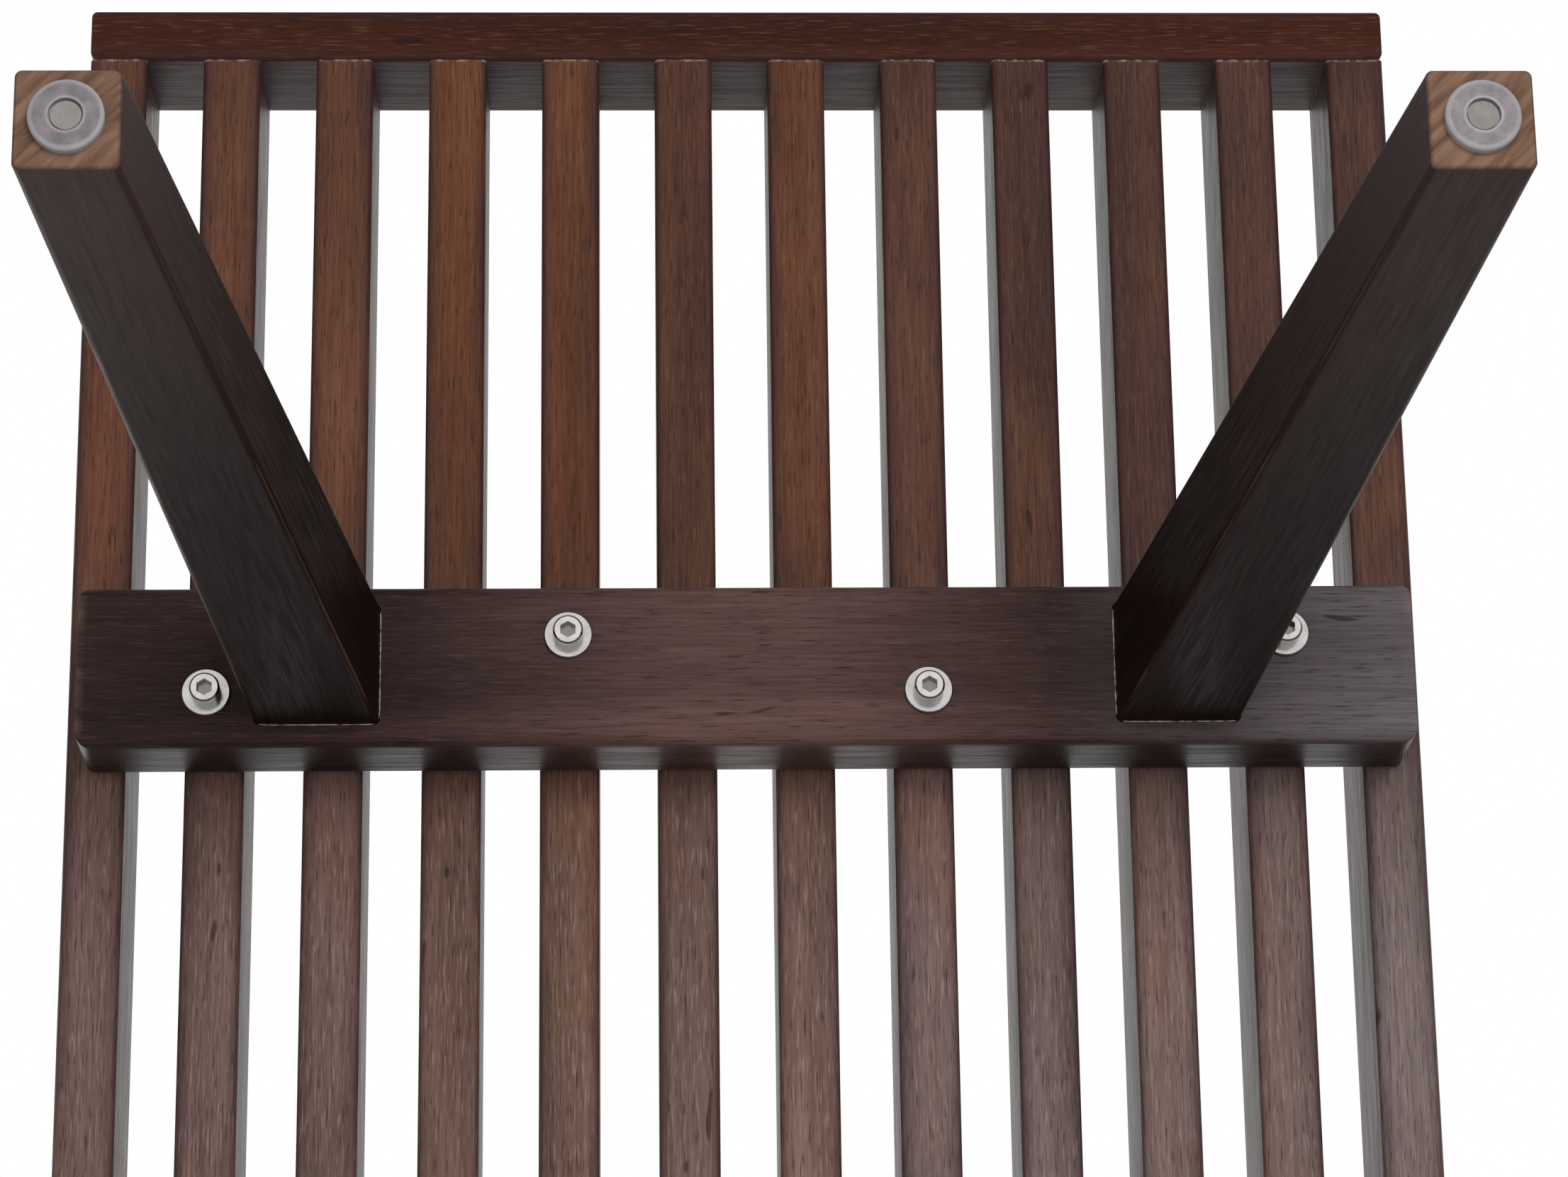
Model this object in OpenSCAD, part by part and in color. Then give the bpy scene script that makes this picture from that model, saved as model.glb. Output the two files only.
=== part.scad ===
// Slatted luggage bench: slats between two end rails, on two bolted crossbars with splayed legs.
// The slats run along X and Z is up. The origin is on the floor, under the middle of the deck.

/* [Deck] */
// Length of the deck, over its end rails
deck_length = 1219; // [1000:1:1500]
// Width of the deck, over its side rails
deck_width = 457; // [450:1:470]
// Height of the deck's top face above the floor
seat_height = 454; // [400:1:500]
// Height of every slat and rail
member_height = 46; // [40:1:60]
// Thickness of every slat and side rail
slat_thickness = 20; // [18:0.5:22]
// Thickness of both end rails
end_rail_thickness = 19; // [18:0.5:24]
// Radius of the eased long edges of slats and rails
edge_radius = 2; // [1:0.5:4]
// Radius of the deck's four upright corners
corner_radius = 3; // [1:0.5:8]

/* [Crossbars] */
// Length of each crossbar, across the deck
crossbar_length = 443; // [430:1:450]
// Width of each crossbar, along the deck
crossbar_width = 55; // [52:1:60]
// Depth of each crossbar below the deck
crossbar_height = 36; // [34:1:42]
// From the deck's end to the crossbar's outer face
crossbar_inset = 226; // [180:1:280]
// Radius of the crossbar's rounded edges
crossbar_radius = 4.5; // [2:0.5:6]
// Depth of the sockets that the legs are glued into
mortise_depth = 24; // [18:1:26]

/* [Legs] */
// Side of a leg's square section where it meets the crossbar
leg_top_side = 41; // [34:0.5:42]
// Side of a leg's square section at the floor
leg_foot_side = 28; // [24:0.5:32]
// From the deck's centre line to a leg's axis at the crossbar
leg_top_reach = 142.3; // [138:0.1:146]
// How far a leg leans outwards across the deck
leg_splay_across = 41.4; // [20:0.2:44]
// How far a leg leans towards the deck's end
leg_splay_along = 34.2; // [10:0.2:60]
// Radius of a leg's long edges
leg_radius = 2; // [1:0.5:4]

/* [Hardware] */
// Nominal thread diameter of the crossbar bolts
bolt_diameter = 6; // [5:1:6]
// Length of a crossbar bolt under its head
bolt_length = 50; // [48:1:54]
// Sideways offset of each bolt from the crossbar's centre line
bolt_stagger = 9.7; // [0:0.1:12]
// Diameter of a bolt's washer
washer_diameter = 16; // [14:0.5:18]
// Diameter of the clear pad under each foot
pad_diameter = 20; // [16:0.5:22]
// Thickness of the clear pad under each foot
pad_thickness = 3; // [2.5:0.5:5]

/* [Hidden] */

members = 12;                 // two side rails and ten slats
bolted_members = [1, 4, 7, 10];
member_pitch = (deck_width - slat_thickness) / (members - 1);
slat_length = deck_length - 2 * end_rail_thickness;
deck_underside = seat_height - member_height;
crossbar_underside = deck_underside - crossbar_height;
crossbar_x = deck_length / 2 - crossbar_inset - crossbar_width / 2;
foot_x = crossbar_x + leg_splay_along;
foot_reach = leg_top_reach + leg_splay_across;
foot_chamfer = 0.8;
mortise_gap = 0.35;

dowel_diameter = 8;
dowel_in_rail = 12;
dowel_in_slat = 24;
dowel_chamfer = 1;
dowel_spacing = member_height / 2;

washer_thickness = 1.5;
head_diameter = bolt_diameter * 5 / 3;
head_height = bolt_diameter;
head_chamfer = 0.6;
hex_across_flats = bolt_diameter * 5 / 6;
hex_depth = bolt_diameter / 2;
bolt_clearance = 0.6;
thread_clearance = 0.04;
insert_diameter = bolt_diameter + 4;
insert_length = 12;
insert_rib = 0.6;

screw_diameter = 5;
screw_head_diameter = 10;
screw_length = 50;
screw_tip = 6;
screw_slot_width = 1.4;
screw_slot_length = 5.4;
screw_slot_depth = 2;

pad_recess_diameter = pad_diameter * 0.46;
pad_recess_depth = pad_thickness * 0.6;
pad_rim_radius = 1;
nail_diameter = 2.4;
nail_head_diameter = 8;
nail_head_height = 1;
nail_length = 18;
nail_fit = 0.04;

wood = "#4a3128";
dark_wood = "#33231f";
leg_wood = "#221a19";
steel = "#c9ccd0";
brass = "#b08d3f";
dowel_wood = "#c9a878";
clear_plastic = "#d8d4dc";

$fn = 48;

// Centre of deck member i, counted from the front side rail
function member_y(i) = (i - (members - 1) / 2) * member_pitch;

// Where bolt number i is along the deck, measured from the crossbar's centre line
function bolt_offset(i) = (i % 2 == 0 ? -1 : 1) * bolt_stagger;

// A rectangle with true arcs at its corners, centred on the origin
module rounded_rect(w, h, r) {
    square([w - 2 * r, h], center = true);
    square([w, h - 2 * r], center = true);
    for (sx = [-1, 1], sy = [-1, 1])
        translate([sx * (w / 2 - r), sy * (h / 2 - r)]) circle(r);
}

// A bar along X with eased long edges, centred on the origin
module bar_along_x(length, w, h, r) {
    rotate([90, 0, 90])
        translate([0, 0, -length / 2])
            linear_extrude(length) rounded_rect(w, h, r);
}

// A bar along Y with eased long edges and rounded upright corners, centred on the origin
module bar_along_y(length, w, h, r, corner) {
    intersection() {
        rotate([0, 0, 90]) bar_along_x(length, w, h, r);
        translate([0, 0, -h / 2]) linear_extrude(h) rounded_rect(w, length, corner);
    }
}

// The two dowels that join one end of a member to its end rail, on the side given by sx
module dowel_pair(sx, clearance) {
    lead = clearance > 0 ? 0 : dowel_chamfer;
    r = dowel_diameter / 2 + clearance / 2;
    start = sx > 0 ? -dowel_in_slat : -dowel_in_rail;
    length = dowel_in_rail + dowel_in_slat;
    for (sz = [-1, 1])
        translate([sx * slat_length / 2 + start, 0, seat_height - member_height / 2 + sz * dowel_spacing / 2])
            rotate([0, 90, 0])
                union() {
                    translate([0, 0, lead]) cylinder(h = length - 2 * lead, r = r);
                    if (lead > 0) {
                        cylinder(h = lead, r1 = r - lead / 2, r2 = r);
                        translate([0, 0, length - lead]) cylinder(h = lead, r1 = r, r2 = r - lead / 2);
                    }
                }
}

// Everything on the left is the right-hand piece turned half a turn about Z
module on_side(side) {
    rotate([0, 0, side > 0 ? 0 : 180]) children();
}

// One slat or side rail, drilled for its dowels, and for its threaded inserts if it is bolted
module deck_member(i, drilled) {
    color(wood)
        difference() {
            translate([0, member_y(i), seat_height - member_height / 2])
                bar_along_x(slat_length, slat_thickness, member_height, edge_radius);
            for (sx = [-1, 1]) translate([0, member_y(i), 0]) dowel_pair(sx, thread_clearance);
            if (drilled)
                for (side = [-1, 1], k = [0:3])
                    if (bolted_members[k] == (side > 0 ? i : members - 1 - i))
                        on_side(side)
                            translate([crossbar_x + bolt_offset(k), member_y(bolted_members[k]), deck_underside - 1])
                                cylinder(h = insert_length + 4, d = insert_diameter + thread_clearance);
        }
}

// A full-width end rail, drilled for the dowels of all its members
module end_rail(side) {
    color(wood)
        difference() {
            translate([
                side * (deck_length - end_rail_thickness) / 2, 0,
                seat_height - member_height / 2
            ])
                bar_along_y(deck_width, end_rail_thickness, member_height, edge_radius, corner_radius);
            for (i = [0:members - 1]) translate([0, member_y(i), 0]) dowel_pair(side, thread_clearance);
        }
}

module slat_dowels(side) {
    color(dowel_wood)
        for (i = [0:members - 1]) translate([0, member_y(i), 0]) dowel_pair(side, 0);
}

// The shape that the leg screw and its countersunk head take up, for both the screw and its hole
module screw_body(clearance, tip) {
    head_drop = (screw_head_diameter - screw_diameter) / 2;
    translate([0, 0, -head_drop])
        cylinder(h = head_drop, d1 = screw_diameter + clearance, d2 = screw_head_diameter + clearance);
    translate([0, 0, tip - screw_length]) cylinder(h = screw_length - tip, d = screw_diameter + clearance);
    if (tip > 0)
        translate([0, 0, -screw_length]) cylinder(h = tip, d1 = 1, d2 = screw_diameter + clearance);
}

module crossbar(side) {
    color(dark_wood)
        on_side(side)
            difference() {
                translate([crossbar_x, 0, deck_underside - crossbar_height / 2])
                    bar_along_y(
                        crossbar_length, crossbar_width, crossbar_height,
                        crossbar_radius, crossbar_radius
                    );
                for (sy = [-1, 1])
                    translate([crossbar_x, sy * leg_top_reach, crossbar_underside - 1]) {
                        linear_extrude(mortise_depth + 1)
                            rounded_rect(
                                leg_top_side + 2 * mortise_gap, leg_top_side + 2 * mortise_gap,
                                leg_radius + mortise_gap
                            );
                        translate([0, 0, crossbar_height + 1]) screw_body(thread_clearance, 0);
                    }
                for (k = [0:3])
                    translate([
                        crossbar_x + bolt_offset(k), member_y(bolted_members[k]), crossbar_underside - 1
                    ])
                        cylinder(h = crossbar_height + 2, d = bolt_diameter + bolt_clearance);
            }
}

// A tapered, splayed leg with a straight tenon on top, drilled for its screw and for the pad's nail
module leg(side, sy) {
    taper = 2 * foot_chamfer;
    rise = crossbar_underside - pad_thickness;
    sliver = 0.01;
    color(leg_wood)
        on_side(side)
            difference() {
                union() {
                    hull() {
                        translate([foot_x, sy * foot_reach, pad_thickness])
                            linear_extrude(sliver)
                                rounded_rect(leg_foot_side - taper, leg_foot_side - taper, leg_radius, $fn = 32);
                        translate([
                            foot_x - leg_splay_along * foot_chamfer / rise,
                            sy * (foot_reach - leg_splay_across * foot_chamfer / rise),
                            pad_thickness + foot_chamfer
                        ])
                            linear_extrude(sliver)
                                rounded_rect(leg_foot_side, leg_foot_side, leg_radius, $fn = 32);
                        translate([crossbar_x, sy * leg_top_reach, crossbar_underside - sliver])
                            linear_extrude(sliver)
                                rounded_rect(leg_top_side, leg_top_side, leg_radius, $fn = 32);
                    }
                    translate([crossbar_x, sy * leg_top_reach, crossbar_underside - sliver])
                        linear_extrude(mortise_depth + sliver)
                            rounded_rect(leg_top_side, leg_top_side, leg_radius);
                }
                translate([crossbar_x, sy * leg_top_reach, deck_underside]) screw_body(thread_clearance, 0);
                translate([foot_x, sy * foot_reach, pad_thickness - 1])
                    cylinder(h = nail_length + 1, d = nail_diameter + nail_fit);
            }
}

module leg_screws(side) {
    color(steel)
        on_side(side)
            for (sy = [-1, 1])
                translate([crossbar_x, sy * leg_top_reach, deck_underside])
                    difference() {
                        screw_body(0, screw_tip);
                        for (turn = [0, 90])
                            rotate([0, 0, turn])
                                translate([-screw_slot_length / 2, -screw_slot_width / 2, -screw_slot_depth])
                                    cube([screw_slot_length, screw_slot_width, screw_slot_depth + 1]);
                    }
}

// Puts its children under the crossbar's lower face at each of the four bolts, pointing up
module at_bolts(side) {
    on_side(side)
        for (k = [0:3])
            translate([crossbar_x + bolt_offset(k), member_y(bolted_members[k]), crossbar_underside])
                children();
}

// Socket-head cap screws, heads down, through the washers and the crossbar into the slats
module crossbar_bolts(side) {
    r = head_diameter / 2;
    shank = bolt_diameter / 2;
    color(steel)
        at_bolts(side)
            translate([0, 0, -washer_thickness])
                difference() {
                    rotate_extrude()
                        polygon([
                            [0, -head_height], [r - head_chamfer, -head_height],
                            [r, head_chamfer - head_height], [r, 0], [shank, 0],
                            [shank, bolt_length - head_chamfer], [shank - head_chamfer, bolt_length],
                            [0, bolt_length]
                        ]);
                    translate([0, 0, -head_height - 1])
                        cylinder(h = hex_depth + 1, d = hex_across_flats / cos(30), $fn = 6);
                }
}

module bolt_washers(side) {
    ease = 0.3;
    outer = washer_diameter / 2;
    inner = (bolt_diameter + bolt_clearance) / 2;
    color(steel)
        at_bolts(side)
            rotate_extrude()
                polygon([
                    [inner, -washer_thickness], [outer - ease, -washer_thickness],
                    [outer, ease - washer_thickness], [outer, 0], [inner, 0]
                ]);
}

// Ribbed threaded inserts, pressed into the undersides of the bolted slats
module slat_inserts(side) {
    inner = (bolt_diameter + thread_clearance) / 2;
    outer = insert_diameter / 2;
    ribs = 3;
    step = insert_length / ribs;
    color(brass)
        at_bolts(side)
            translate([0, 0, crossbar_height])
                difference() {
                    union() {
                        cylinder(h = insert_length, r = outer - insert_rib);
                        for (rib = [0:ribs - 1])
                            translate([0, 0, rib * step]) cylinder(h = step / 2, r = outer);
                    }
                    translate([0, 0, -1]) cylinder(h = insert_length + 2, r = inner);
                }
}

module at_foot(side, sy) {
    on_side(side) translate([foot_x, sy * foot_reach, 0]) children();
}

// A clear round glide with a recess for the nail's head
module foot_pad(side, sy) {
    r = pad_diameter / 2;
    color(clear_plastic)
        at_foot(side, sy)
            difference() {
                rotate_extrude()
                    union() {
                        translate([0, pad_rim_radius]) square([r, pad_thickness - pad_rim_radius]);
                        square([r - pad_rim_radius, pad_thickness]);
                        translate([r - pad_rim_radius, pad_rim_radius]) circle(pad_rim_radius);
                    }
                translate([0, 0, -1]) cylinder(h = pad_recess_depth + 1, d = pad_recess_diameter);
                translate([0, 0, -1]) cylinder(h = pad_thickness + 2, d = nail_diameter + nail_fit);
            }
}

module foot_nail(side, sy) {
    r = nail_diameter / 2;
    color(steel)
        at_foot(side, sy)
            translate([0, 0, pad_recess_depth]) {
                translate([0, 0, -nail_head_height])
                    cylinder(h = nail_head_height, d = nail_head_diameter);
                cylinder(h = nail_length - 2 * r - pad_recess_depth, r = r);
                translate([0, 0, nail_length - 2 * r - pad_recess_depth]) cylinder(h = 2 * r, r1 = r, r2 = 0.2);
            }
}

end_rail(-1);  // end_rail_left
end_rail(1);  // end_rail_right
deck_member(0, false);  // side_rail_front
deck_member(11, false);  // side_rail_back
deck_member(1, true);  // slat_01
deck_member(2, false);  // slat_02
deck_member(3, false);  // slat_03
deck_member(4, true);  // slat_04
deck_member(5, false);  // slat_05
deck_member(6, false);  // slat_06
deck_member(7, true);  // slat_07
deck_member(8, false);  // slat_08
deck_member(9, false);  // slat_09
deck_member(10, true);  // slat_10
slat_dowels(-1);  // slat_dowels_left
slat_dowels(1);  // slat_dowels_right
crossbar(-1);  // crossbar_left
crossbar(1);  // crossbar_right
leg(-1, 1);  // leg_left_front
leg(-1, -1);  // leg_left_back
leg(1, -1);  // leg_right_front
leg(1, 1);  // leg_right_back
leg_screws(-1);  // leg_screws_left
leg_screws(1);  // leg_screws_right
crossbar_bolts(-1);  // crossbar_bolts_left
crossbar_bolts(1);  // crossbar_bolts_right
bolt_washers(-1);  // bolt_washers_left
bolt_washers(1);  // bolt_washers_right
slat_inserts(-1);  // slat_inserts_left
slat_inserts(1);  // slat_inserts_right
foot_pad(-1, 1);  // foot_pad_left_front
foot_pad(-1, -1);  // foot_pad_left_back
foot_pad(1, -1);  // foot_pad_right_front
foot_pad(1, 1);  // foot_pad_right_back
foot_nail(-1, 1);  // foot_nail_left_front
foot_nail(-1, -1);  // foot_nail_left_back
foot_nail(1, -1);  // foot_nail_right_front
foot_nail(1, 1);  // foot_nail_right_back
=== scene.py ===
"""The looks of the slatted luggage bench: stained wood, bolts and clear foot pads, seen from below."""

import math

import bpy
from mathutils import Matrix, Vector


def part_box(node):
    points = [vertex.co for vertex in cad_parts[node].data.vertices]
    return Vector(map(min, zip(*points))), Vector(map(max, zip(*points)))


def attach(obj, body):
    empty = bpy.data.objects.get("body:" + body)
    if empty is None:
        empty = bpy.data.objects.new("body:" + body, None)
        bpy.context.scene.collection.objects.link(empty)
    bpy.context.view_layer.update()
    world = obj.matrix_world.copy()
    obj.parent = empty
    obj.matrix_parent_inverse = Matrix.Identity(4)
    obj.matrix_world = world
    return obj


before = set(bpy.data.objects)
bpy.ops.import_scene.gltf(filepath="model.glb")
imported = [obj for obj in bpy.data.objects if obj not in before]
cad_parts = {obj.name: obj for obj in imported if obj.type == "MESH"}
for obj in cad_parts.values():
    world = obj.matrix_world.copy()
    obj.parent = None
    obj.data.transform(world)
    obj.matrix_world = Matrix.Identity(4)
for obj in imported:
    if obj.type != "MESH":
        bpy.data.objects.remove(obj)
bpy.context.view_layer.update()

MM = 0.001
SIDES = ("left", "right")
ENDS = ("front", "back")


# ---------------------------------------------------------------- measures taken from the frame


def middle(node):
    low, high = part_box(node)
    return (low + high) / 2


def size(node):
    low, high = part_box(node)
    return high - low


MEMBERS = ["side_rail_front", *(f"slat_{i:02d}" for i in range(1, 11)), "side_rail_back"]
SLAT_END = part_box("slat_01")[1].x  # where the slats meet the end rails
RAIL_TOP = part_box("end_rail_right")[1].z
RAIL_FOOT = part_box("end_rail_right")[0].z
CROSSBAR_X = middle("crossbar_right").x
CROSSBAR_HALF = size("crossbar_right").x / 2
CROSSBAR_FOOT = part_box("crossbar_right")[0].z
LEG_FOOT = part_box("leg_right_back")[0].z
FOOT_SIDE = 1.4 * size("foot_pad_right_back").x  # a foot is 1.4 pads across
BOLT_HEAD_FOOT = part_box("crossbar_bolts_right")[0].z
BEAD_GAP = 0.35 * MM  # between the leg and its socket

# Features per metre of the wood's noises, along the grain and twice across it
FIGURE = (3.2, 42, 42)
GROWTH = (1.6, 34, 34)
FIBRE = (34, 900, 900)
# the next scale is for the pale glints along the grain, which are painted highlight
GLINT = (105, 1500, 1500)
PORE = (110, 1500, 1500)
SPECK = (60, 190, 190)
GROWTH_LINES = 22.0  # dark lines across the range of the growth noise


# ---------------------------------------------------------------- shader building blocks


def linear(red, green, blue):
    """A colour given as sRGB bytes, as Blender's linear RGBA."""

    def one(value):
        share = value / 255
        return share / 12.92 if share <= 0.04045 else ((share + 0.055) / 1.055) ** 2.4

    return (one(red), one(green), one(blue), 1.0)


class Shader:
    """A new material, with short ways to add nodes. A value may be a number, a tuple or another socket."""

    def __init__(self, name):
        self.material = bpy.data.materials.new(name)
        self.material.use_nodes = True
        self.tree = self.material.node_tree
        self.surface = self.tree.nodes["Principled BSDF"]

    def node(self, kind, values, **settings):
        made = self.tree.nodes.new(kind)
        for key, value in settings.items():
            setattr(made, key, value)
        for key, value in values.items():
            self.put(made.inputs[key], value)
        return made

    def put(self, socket, value):
        if isinstance(value, bpy.types.NodeSocket):
            self.tree.links.new(value, socket)
        else:
            socket.default_value = value

    def set(self, **values):
        for key, value in values.items():
            self.put(self.surface.inputs[key.replace("_", " ")], value)

    def math(self, operation, first, second=0.0):
        return self.node("ShaderNodeMath", {0: first, 1: second}, operation=operation).outputs[0]

    def ramp(self, value, low, high, to_low=0.0, to_high=1.0):
        values = {"Value": value, "From Min": low, "From Max": high, "To Min": to_low, "To Max": to_high}
        return self.node("ShaderNodeMapRange", values).outputs["Result"]

    def mix(self, share, first, second):
        made = self.node("ShaderNodeMix", {}, data_type="RGBA")
        self.put(made.inputs["Factor"], share)
        self.put(made.inputs[6], first)
        self.put(made.inputs[7], second)
        return made.outputs[2]

    def position(self):
        """x, y and z in the bench's own frame, in metres."""
        place = self.node("ShaderNodeTexCoord", {}).outputs["Object"]
        return self.node("ShaderNodeSeparateXYZ", {0: place}).outputs

    def vector(self, x, y, z):
        return self.node("ShaderNodeCombineXYZ", {0: x, 1: y, 2: z}).outputs[0]

    def noise(self, vector, scales, detail=2.0):
        """Noise whose features are 1/scale metres long in each direction."""
        stretched = self.node("ShaderNodeVectorMath", {0: vector, 1: scales}, operation="MULTIPLY")
        values = {"Vector": stretched.outputs[0], "Scale": 1.0, "Detail": detail}
        return self.node("ShaderNodeTexNoise", values).outputs["Fac"]

    def bump(self, height, strength, distance):
        values = {"Height": height, "Strength": strength, "Distance": distance}
        self.set(Normal=self.node("ShaderNodeBump", values).outputs[0])


# ---------------------------------------------------------------- wood


def grain_space(shader, along, across_1, across_2, seed):
    """A vector with the grain along its first axis, moved by a seed so that no two pieces match."""
    moved = shader.math("ADD", along, 7.3 * seed)
    return shader.vector(moved, across_1, across_2)


def near_edge(shader, first, second, start):
    """1 at the edges of a bar and 0 inside it, from its two cross coordinates, each -1 to 1."""
    nearest = shader.math("MINIMUM", shader.math("ABSOLUTE", first), shader.math("ABSOLUTE", second))
    return shader.ramp(nearest, start, 1.0)


def stained_wood(
    shader, grain, dark, light, glint_colour, pore, glint_share=0.26, depth=0.62, gloss=0.38, shine=0.24, relief=0.45
):
    """The colour of open-pore stained wood: broad figure, growth lines, fibres, painted glints and dark
    pores.

    It also sets the shader's gloss and bump. The pale glints along the grain are painted highlight. The
    glints' share and depth are the shares of the glints and the pores.
    """
    broad = shader.ramp(shader.noise(grain, FIGURE, 3.0), 0.34, 0.66)
    growth = shader.math("MULTIPLY", shader.noise(grain, GROWTH, 1.0), GROWTH_LINES)
    lines = shader.math("PINGPONG", growth, 1.0)
    fibres = shader.noise(grain, FIBRE, 2.0)
    # painted highlight: pale glints along the grain, mixed into the colour
    glint_mask = shader.ramp(shader.noise(grain, GLINT, 1.0), 0.56, 0.72, 0.0, glint_share)
    pores = shader.ramp(shader.noise(grain, PORE, 1.0), 0.60, 0.72)
    specks = shader.ramp(shader.noise(grain, SPECK, 0.0), 0.83, 0.86)
    colour = shader.mix(broad, dark, light)
    colour = shader.mix(shader.math("MULTIPLY", lines, 0.22), colour, dark)
    colour = shader.mix(shader.ramp(fibres, 0.35, 0.65, 0.0, 0.30), colour, pore)
    colour = shader.mix(glint_mask, colour, glint_colour)
    colour = shader.mix(shader.math("MULTIPLY", pores, depth), colour, pore)
    colour = shader.mix(shader.math("MULTIPLY", specks, 0.7), colour, pore)
    height = shader.math("SUBTRACT", shader.math("MULTIPLY", fibres, 0.5), pores)
    shader.set(Roughness=shader.ramp(fibres, 0.3, 0.7, gloss, gloss + 0.18), Specular_IOR_Level=shine)
    shader.bump(height, relief, 0.2 * MM)
    return colour


def tones(mean, low, high):
    """A darker and a lighter colour on either side of a mean given as sRGB bytes."""
    return [linear(*(channel * share for channel in mean)) for share in (low, high)]


def blend(first, second, share):
    return [a + (b - a) * share for a, b in zip(first, second)]


def deck_wood(name, node, along, red_mean, tone_and_sheen_mean, seed):
    """The wood of one slat or rail, with its grain along axis number along and darker towards its edges.

    Slats and side rails go from a greyer mean between the crossbars, partly a tone change and partly painted
    sheen, to the red mean beyond them.
    """
    shader = Shader(name)
    place = shader.position()
    centre, half = middle(node), size(node) / 2
    across = 1 - along
    grain = grain_space(shader, place[along], place[across], place[2], seed)
    side = shader.math("DIVIDE", shader.math("SUBTRACT", place[across], centre[across]), half[across])
    rise = shader.math("DIVIDE", shader.math("SUBTRACT", place[2], centre.z), half.z)
    dark, light = tones(red_mean, 0.80, 1.17)
    glint_colour, glint_share = linear(150, 118, 96), 0.15
    if along == 0:
        # between the crossbars the wood is greyer, partly as a tone change and partly as painted sheen, with
        # paler and more painted glints
        tone_and_sheen_dark, tone_and_sheen_light = tones(tone_and_sheen_mean, 0.84, 1.12)
        reach = shader.math("ABSOLUTE", place[0])
        beyond = shader.ramp(reach, CROSSBAR_X - 3 * CROSSBAR_HALF, CROSSBAR_X + 2 * CROSSBAR_HALF)
        dark = shader.mix(beyond, tone_and_sheen_dark, dark)
        light = shader.mix(beyond, tone_and_sheen_light, light)
        glint_colour = shader.mix(beyond, linear(176, 154, 146), linear(150, 112, 84))
        glint_share = shader.ramp(beyond, 0.0, 1.0, 0.28, 0.14)
        mottle = shader.ramp(shader.noise(grain, (9, 26, 26), 2.0), 0.48, 0.66, 0.0, 0.35)
        dark = shader.mix(mottle, dark, linear(104, 66, 44))
        light = shader.mix(mottle, light, linear(126, 84, 58))
    shine = 0.24 if along == 0 else 0.12
    colour = stained_wood(shader, grain, dark, light, glint_colour, linear(34, 20, 18), glint_share, shine=shine)
    wander = shader.ramp(shader.noise(grain, (14, 160, 160), 2.0), 0.3, 0.7, -0.12, 0.12)
    rim = shader.ramp(shader.math("ADD", shader.math("ABSOLUTE", side), wander), 0.50, 0.96, 0.0, 0.65)
    colour = shader.mix(rim, colour, linear(52, 34, 35))
    worn = near_edge(shader, side, rise, 0.93)
    chipped = shader.ramp(shader.noise(grain, (30, 120, 120), 3.0), 0.56, 0.70, 0.0, 0.7)
    colour = shader.mix(shader.math("MULTIPLY", worn, chipped), colour, linear(140, 100, 76))
    if along == 0:
        gap = shader.math("SUBTRACT", SLAT_END, reach)
        crack = shader.ramp(gap, 0.2 * MM, 1.0 * MM, 1.0, 0.0)
        broken = shader.ramp(shader.noise(grain, (500, 260, 260), 2.0), 0.45, 0.60, 0.0, 0.7)
        colour = shader.mix(shader.math("MULTIPLY", crack, broken), colour, linear(158, 140, 128))
    shader.set(Base_Color=colour)
    return shader.material


def crossbar_wood(name, seed):
    """Smooth satin stain, with painted light between the legs and painted shade towards them, edges lightened
    partly as wear and partly as painted highlight, and a painted grey sheen under its back end.
    """
    shader = Shader(name)
    place = shader.position()
    centre, half = middle("crossbar_right"), size("crossbar_right") / 2
    grain = grain_space(shader, place[1], place[0], place[2], seed)
    reach = shader.math("ABSOLUTE", place[1])
    from_axis = shader.math("SUBTRACT", shader.math("ABSOLUTE", place[0]), centre.x)
    beyond = shader.math("DIVIDE", from_axis, half.x)
    rise = shader.math("DIVIDE", shader.math("SUBTRACT", place[2], centre.z), half.z)
    # painted light: paler between the legs, with painted shade towards them
    between = shader.ramp(reach, 0.10 * half.y, 0.50 * half.y, 0.60, 0.0)
    dark = shader.mix(between, linear(37, 24, 23), linear(87, 63, 59))
    light = shader.mix(between, linear(54, 37, 35), linear(117, 88, 83))
    # painted reflection: a grey sheen on the underside of the back end
    painted_sheen = shader.ramp(place[1], 0.45 * half.y, 0.95 * half.y, 0.0, 0.85)
    painted_sheen = shader.math("MULTIPLY", painted_sheen, shader.ramp(rise, -0.95, -0.75, 1.0, 0.0))
    dark = shader.mix(painted_sheen, dark, linear(92, 86, 89))
    light = shader.mix(painted_sheen, light, linear(110, 104, 107))
    colour = stained_wood(
        shader, grain, dark, light, linear(104, 82, 78), linear(26, 17, 17),
        glint_share=0.20, depth=0.60, gloss=0.33, shine=0.12, relief=0.12,
    )
    # edges and end rims lightened partly as wear and partly as painted highlight
    outermost = shader.math("MAXIMUM", shader.math("ABSOLUTE", beyond), shader.math("ABSOLUTE", rise))
    at_end = shader.ramp(reach, half.y - 3 * MM, half.y)
    end_wear_and_highlight = shader.math("MULTIPLY", at_end, shader.ramp(outermost, 0.90, 1.0))
    worn = shader.math("MAXIMUM", near_edge(shader, beyond, rise, 0.92), end_wear_and_highlight)
    thin = shader.ramp(shader.noise(grain, (20, 120, 120), 3.0), 0.46, 0.66, 0.1, 0.5)
    colour = shader.mix(shader.math("MULTIPLY", worn, thin), colour, linear(126, 98, 88))
    shader.set(Base_Color=colour)
    return shader.material


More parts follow.
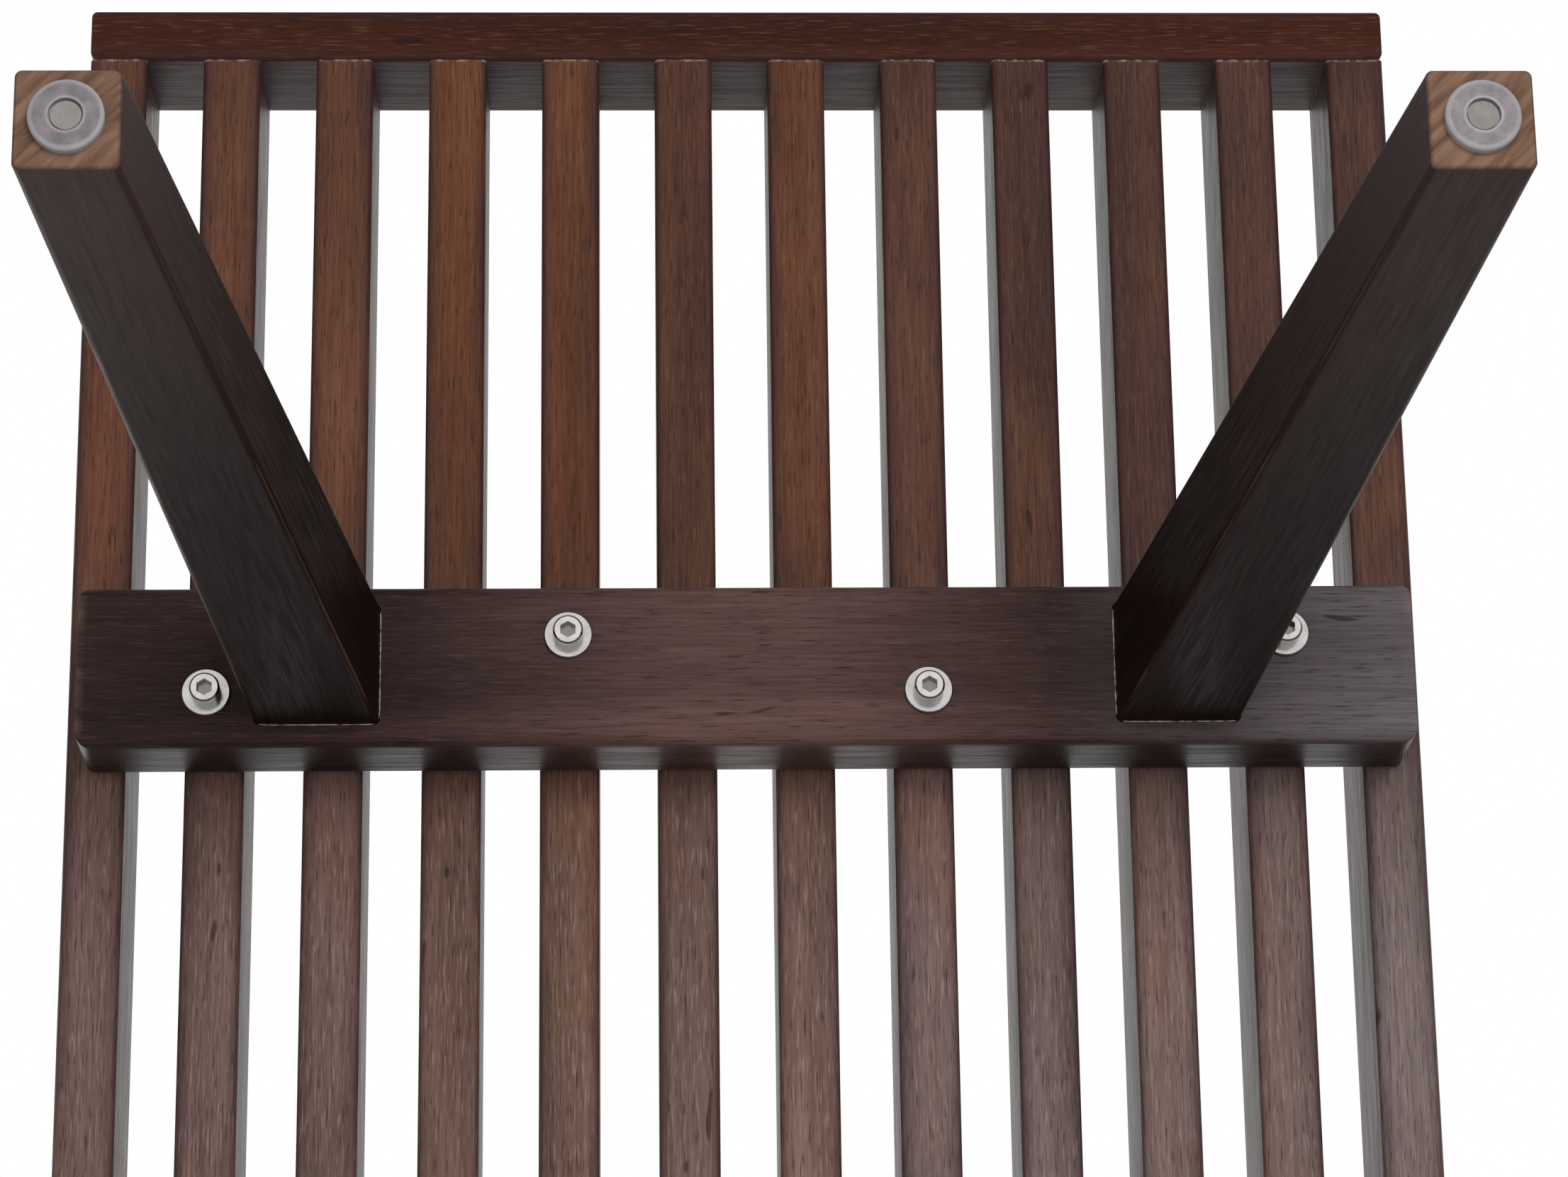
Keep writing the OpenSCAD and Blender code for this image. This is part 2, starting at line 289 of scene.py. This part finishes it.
def leg_wood(name, node, seed):
    """A leg's wood. Its grain and its edges, lightened partly as wear and partly as painted highlight, follow
    the leg's lean and taper, and its foot end is bare.
    """
    shader = Shader(name)
    place = shader.position()
    low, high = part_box(node)
    across = 1 if middle(node).y > 0 else -1
    along = 1 if middle(node).x > 0 else -1
    outer = Vector((high.x if along > 0 else -low.x, high.y if across > 0 else -low.y))
    inner = Vector((low.x if along > 0 else -high.x, low.y if across > 0 else -high.y))
    top_half = CROSSBAR_X - inner.x
    foot_half = FOOT_SIDE / 2
    share = shader.ramp(place[2], LEG_FOOT, CROSSBAR_FOOT)
    half = shader.ramp(share, 0, 1, foot_half, top_half)
    axis_x = shader.ramp(share, 0, 1, along * (outer.x - foot_half), along * CROSSBAR_X)
    axis_y = shader.ramp(share, 0, 1, across * (outer.y - foot_half), across * (inner.y + top_half))
    local_x = shader.math("SUBTRACT", place[0], axis_x)
    local_y = shader.math("SUBTRACT", place[1], axis_y)
    grain = grain_space(shader, place[2], local_x, local_y, seed)
    colour = stained_wood(
        shader, grain, linear(24, 13, 12), linear(34, 21, 19), linear(60, 46, 42), linear(12, 8, 8),
        glint_share=0.10, gloss=0.36, shine=0.05, relief=0.05,
    )
    colour = shader.mix(shader.ramp(share, 0.0, 0.6, 0.6, 0.0), colour, linear(62, 47, 44))
    # partly painted highlight: the leg's edges are lightened partly as wear and partly as a bright edge line
    edge = near_edge(shader, shader.math("DIVIDE", local_x, half), shader.math("DIVIDE", local_y, half), 0.94)
    thin = shader.ramp(shader.noise(grain, (16, 90, 90), 3.0), 0.46, 0.62, 0.1, 0.75)
    colour = shader.mix(shader.math("MULTIPLY", edge, thin), colour, linear(136, 96, 72))
    slant_1 = shader.math("MULTIPLY", shader.math("ADD", local_x, local_y), 0.7)
    slant_2 = shader.math("MULTIPLY", shader.math("SUBTRACT", local_x, local_y), 0.7)
    rings = shader.noise(shader.vector(slant_1, slant_2, seed), (60, 420, 1), 3.0)
    bare = shader.mix(shader.ramp(rings, 0.35, 0.65), linear(84, 62, 50), linear(118, 92, 76))
    end_grain = shader.ramp(place[2], LEG_FOOT + 0.2 * MM, LEG_FOOT + 0.9 * MM, 1.0, 0.0)
    shader.set(Base_Color=shader.mix(end_grain, colour, bare))
    return shader.material


def dowel_wood():
    shader = Shader("dowel_beech")
    place = shader.position()
    grain = grain_space(shader, place[0], place[1], place[2], 3)
    fibres = shader.noise(grain, (30, 700, 700), 2.0)
    shader.set(
        Base_Color=shader.mix(fibres, linear(176, 140, 98), linear(222, 190, 146)),
        Roughness=shader.ramp(fibres, 0.3, 0.7, 0.5, 0.65),
    )
    shader.bump(fibres, 0.3, 0.1 * MM)
    return shader.material


# ---------------------------------------------------------------- metal and plastic


def metal(name, dark, light, low_gloss, high_gloss, unshaded_below=None):
    """Worn metal, with painted shade above a given height, which darkens a bolt's socket, the side of its
    head and what lies behind it.
    """
    shader = Shader(name)
    place = shader.node("ShaderNodeTexCoord", {}).outputs["Object"]
    cloud = shader.noise(place, (260, 260, 260), 3.0)
    scratch = shader.noise(place, (300, 4200, 900), 2.0)
    colour = shader.mix(cloud, dark, light)
    if unshaded_below is not None:
        # painted shade: darker above the head's face, in the socket and on the head's side
        painted_shade = shader.ramp(shader.position()[2], unshaded_below, unshaded_below + 1.6 * MM, 0.0, 0.75)
        colour = shader.mix(painted_shade, colour, linear(92, 88, 85))
    shader.set(
        Base_Color=colour,
        Metallic=1.0,
        Roughness=shader.ramp(scratch, 0.3, 0.7, low_gloss, high_gloss),
    )
    shader.bump(scratch, 0.2, 0.04 * MM)
    return shader.material


def clear_plastic(node):
    """Moulded clear plastic, milky with wear, with painted highlight that makes it palest at its rim and
    round its recess.
    """
    shader = Shader(f"plastic_{node}")
    place = shader.position()
    centre, radius = middle(node), size(node).x / 2
    from_x = shader.math("SUBTRACT", place[0], centre.x)
    from_y = shader.math("SUBTRACT", place[1], centre.y)
    squares = shader.math("ADD", shader.math("POWER", from_x, 2.0), shader.math("POWER", from_y, 2.0))
    reach = shader.math("DIVIDE", shader.math("SQRT", squares), radius)
    # painted highlight: a pale ring at the rim and a paler band round the recess
    rim = shader.ramp(reach, 0.84, 0.99, 0.0, 0.8)
    recess_highlight = shader.ramp(reach, 0.48, 0.56, 0.5, 0.0)
    where = shader.vector(place[0], place[1], place[2])
    cloud = shader.ramp(shader.noise(where, (240, 240, 240), 3.0), 0.32, 0.68)
    scuff = shader.noise(where, (2600, 500, 900), 2.0)
    body = shader.mix(cloud, linear(148, 138, 143), linear(184, 174, 179))
    shader.set(
        Base_Color=shader.mix(shader.math("MAXIMUM", rim, recess_highlight), body, linear(242, 239, 242)),
        Roughness=shader.ramp(scuff, 0.35, 0.7, 0.08, 0.20),
        Transmission_Weight=0.62,
        IOR=1.46,
    )
    shader.bump(scuff, 0.04, 0.03 * MM)
    return shader.material


def old_finish():
    """The pale, crazed bead of finish in a glued joint."""
    shader = Shader("joint_finish")
    place = shader.node("ShaderNodeTexCoord", {}).outputs["Object"]
    broken = shader.noise(place, (420, 420, 420), 3.0)
    shader.set(
        Base_Color=shader.mix(shader.ramp(broken, 0.34, 0.56), linear(70, 52, 46), linear(160, 146, 136)),
        Roughness=shader.ramp(broken, 0.3, 0.7, 0.25, 0.5),
    )
    shader.bump(broken, 0.3, 0.1 * MM)
    return shader.material


# ---------------------------------------------------------------- dressing the carried-over pieces


def dress(node, material):
    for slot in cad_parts[node].material_slots:
        slot.material = material


def dress_all():
    """Gives every piece its material. The slats redden towards the front rail and grey towards the back one,
    partly as a tone change and partly as painted sheen, and a few are warmer.
    """
    for i, node in enumerate(MEMBERS):
        across = i / (len(MEMBERS) - 1)
        # partly painted sheen: the slats grow greyer towards the back rail
        red = blend((84, 50, 36), (70, 46, 39), across)
        tone_and_sheen = blend((110, 86, 80), (118, 103, 101), across**2)
        warmth = math.exp(-(((i - 3.6) / 1.1) ** 2)) + 0.6 * math.exp(-(((i - 6) / 0.5) ** 2))
        red = blend(red, (104, 59, 34), warmth)
        tone_and_sheen = blend(tone_and_sheen, (120, 86, 68), warmth * 0.6)
        dress(node, deck_wood(f"wood_{node}", node, 0, red, tone_and_sheen, i + 1))
    for k, side in enumerate(SIDES):
        node = f"end_rail_{side}"
        dress(node, deck_wood(f"wood_{node}", node, 1, (66, 31, 17), None, 20 + k))
        dress(f"crossbar_{side}", crossbar_wood(f"wood_crossbar_{side}", 30 + k))
        for j, end in enumerate(ENDS):
            node = f"leg_{side}_{end}"
            dress(node, leg_wood(f"wood_{node}", node, 40 + 2 * k + j))
    bright = metal("bright_zinc", linear(176, 173, 170), linear(222, 220, 218), 0.12, 0.24)
    # the height above which the bolts get painted shade
    unshaded_below = BOLT_HEAD_FOOT + 0.4 * MM
    bolt_zinc = metal("bolt_zinc", linear(190, 187, 184), linear(232, 230, 228), 0.12, 0.22, unshaded_below)
    dull = metal("nail_steel", linear(146, 140, 137), linear(182, 175, 172), 0.24, 0.38)
    brass = metal("insert_brass", linear(168, 130, 66), linear(206, 170, 100), 0.25, 0.4)
    beech = dowel_wood()
    for side in SIDES:
        for group in ("leg_screws", "bolt_washers"):
            dress(f"{group}_{side}", bright)
        dress(f"crossbar_bolts_{side}", bolt_zinc)
        dress(f"slat_inserts_{side}", brass)
        dress(f"slat_dowels_{side}", beech)
        for end in ENDS:
            dress(f"foot_nail_{side}_{end}", dull)
            dress(f"foot_pad_{side}_{end}", clear_plastic(f"foot_pad_{side}_{end}"))


dress_all()


# ---------------------------------------------------------------- beads of old finish round the leg tops


def joint_bead(side, end, material):
    """The uneven thread of finish that fills the gap between a leg's top and the mouth of its socket."""
    leg_low, leg_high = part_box(f"leg_{side}_{end}")
    out_x = 1 if side == "right" else -1
    out_y = 1 if end == "back" else -1
    inner_x = leg_low.x if out_x > 0 else leg_high.x
    inner_y = leg_low.y if out_y > 0 else leg_high.y
    half = abs(CROSSBAR_X * out_x - inner_x)
    centre_x, centre_y = inner_x + out_x * half, inner_y + out_y * half
    reach = half + BEAD_GAP / 2
    squareness = 24  # the power of the superellipse that the bead follows
    corner_pull = 0.66 * MM  # how far in the corners are drawn
    steps = 160
    curve = bpy.data.curves.new(f"joint_bead_{side}_{end}", "CURVE")
    curve.dimensions = "3D"
    curve.bevel_depth = BEAD_GAP * 0.62
    curve.bevel_resolution = 3
    spline = curve.splines.new("POLY")
    spline.points.add(steps - 1)
    spline.use_cyclic_u = True
    phase = out_x + 2 * out_y
    for k, point in enumerate(spline.points):
        turn = 2 * math.pi * k / steps
        x, y = math.cos(turn), math.sin(turn)
        stretch = (abs(x) ** squareness + abs(y) ** squareness) ** (-1 / squareness)
        corner = min(abs(x), abs(y)) * stretch
        pull = 1 - corner_pull / reach * corner**12
        uneven = math.sin(7 * turn + phase) + math.sin(17 * turn + 2 * phase)
        point.co = (
            centre_x + reach * x * stretch * pull,
            centre_y + reach * y * stretch * pull,
            CROSSBAR_FOOT + BEAD_GAP * 0.25,
            1.0,
        )
        point.radius = 1.0 + 0.16 * uneven
    curve.materials.append(material)
    bead = bpy.data.objects.new(f"joint_bead_{side}_{end}", curve)
    bpy.context.scene.collection.objects.link(bead)
    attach(bead, "root")


bead_finish = old_finish()
for side in SIDES:
    for end in ENDS:
        joint_bead(side, end, bead_finish)


# ---------------------------------------------------------------- stage, light and camera


def floor():
    """A pale floor that shows only from above, so that the camera can look up through it."""
    bpy.ops.mesh.primitive_plane_add(size=14.0)
    plane = bpy.context.object
    plane.name = "floor"
    shader = Shader("floor_paint")
    shader.set(Base_Color=(0.80, 0.80, 0.80, 1.0), Roughness=0.8)
    backface = shader.node("ShaderNodeNewGeometry", {}).outputs["Backfacing"]
    clear = shader.node("ShaderNodeBsdfTransparent", {}).outputs[0]
    both = shader.node("ShaderNodeMixShader", {0: backface, 1: shader.surface.outputs[0], 2: clear})
    output = shader.tree.nodes["Material Output"]
    shader.tree.links.new(both.outputs[0], output.inputs["Surface"])
    plane.data.materials.append(shader.material)
    plane.visible_shadow = False
    plane.visible_diffuse = False
    plane.visible_glossy = False


def area_light(name, place, target, width, height, watts, mirrored=True):
    data = bpy.data.lights.new(name, "AREA")
    data.shape = "RECTANGLE"
    data.size, data.size_y, data.energy = width, height, watts
    light = bpy.data.objects.new(name, data)
    light.location = place
    light.visible_glossy = mirrored
    light.rotation_euler = (Vector(target) - Vector(place)).to_track_quat("-Z", "Y").to_euler()
    bpy.context.scene.collection.objects.link(light)


def world_ramp(tree, value, low, high):
    """Maps a value so that low's first number gives low's second and high's first gives high's second."""
    made = tree.nodes.new("ShaderNodeMapRange")
    tree.links.new(value, made.inputs["Value"])
    amounts = {"From Min": low[0], "To Min": low[1], "From Max": high[0], "To Max": high[1]}
    for name, amount in amounts.items():
        if isinstance(amount, bpy.types.NodeSocket):
            tree.links.new(amount, made.inputs[name])
        else:
            made.inputs[name].default_value = amount
    return made.outputs["Result"]


def studio():
    """Soft lamps, and a surround that looks white, lights gently and mirrors dark at the horizon."""
    world = bpy.data.worlds.new("studio")
    world.use_nodes = True
    tree = world.node_tree
    surround = tree.nodes["Background"]
    surround.inputs["Color"].default_value = (1, 1, 1, 1)
    ray = tree.nodes.new("ShaderNodeLightPath").outputs
    towards = tree.nodes.new("ShaderNodeSeparateXYZ")
    tree.links.new(tree.nodes.new("ShaderNodeTexCoord").outputs["Generated"], towards.inputs[0])
    height = towards.outputs["Z"]
    # The light on dull surfaces: dim from the horizon, stronger from straight below and strongest from above
    lit = world_ramp(tree, height, (-1.0, 0.62), (0.0, 0.30))
    lit = world_ramp(tree, height, (0.0, lit), (0.5, 1.25))
    # What glossy surfaces mirror: bright straight below, dark near the horizon and bright above
    mirrored = world_ramp(tree, height, (-0.98, 1.05), (-0.55, 0.10))
    mirrored = world_ramp(tree, height, (0.1, mirrored), (0.6, 1.25))
    lit = world_ramp(tree, ray["Is Glossy Ray"], (0.0, lit), (1.0, mirrored))
    lit = world_ramp(tree, ray["Is Camera Ray"], (0.0, lit), (1.0, 1.0))
    tree.links.new(lit, surround.inputs["Strength"])
    bpy.context.scene.world = world
    bpy.context.scene.view_settings.view_transform = "Standard"
    area_light("key_below", (0.66, 0.30, -1.25), (CROSSBAR_X, 0.05, RAIL_FOOT), 0.7, 0.9, 17, False)
    area_light("fill_below", (-0.9, -0.7, -1.3), (0, 0, RAIL_FOOT), 1.2, 1.2, 8, False)
    area_light("key_above", (-0.8, -1.4, 2.6), (0, 0, RAIL_TOP), 1.6, 1.6, 14)


def camera():
    """Below the deck, looking up at the right-hand crossbar and the end of the deck."""
    data = bpy.data.cameras.new("camera")
    data.lens = 108.8
    made = bpy.data.objects.new("camera", data)
    made.location = Vector((-105.9, -37.3, -1127.9)) * MM
    made.rotation_euler = [math.radians(angle) for angle in (-161.969, 1.653, 90.727)]
    bpy.context.scene.collection.objects.link(made)
    bpy.context.scene.camera = made


camera()
studio()
floor()
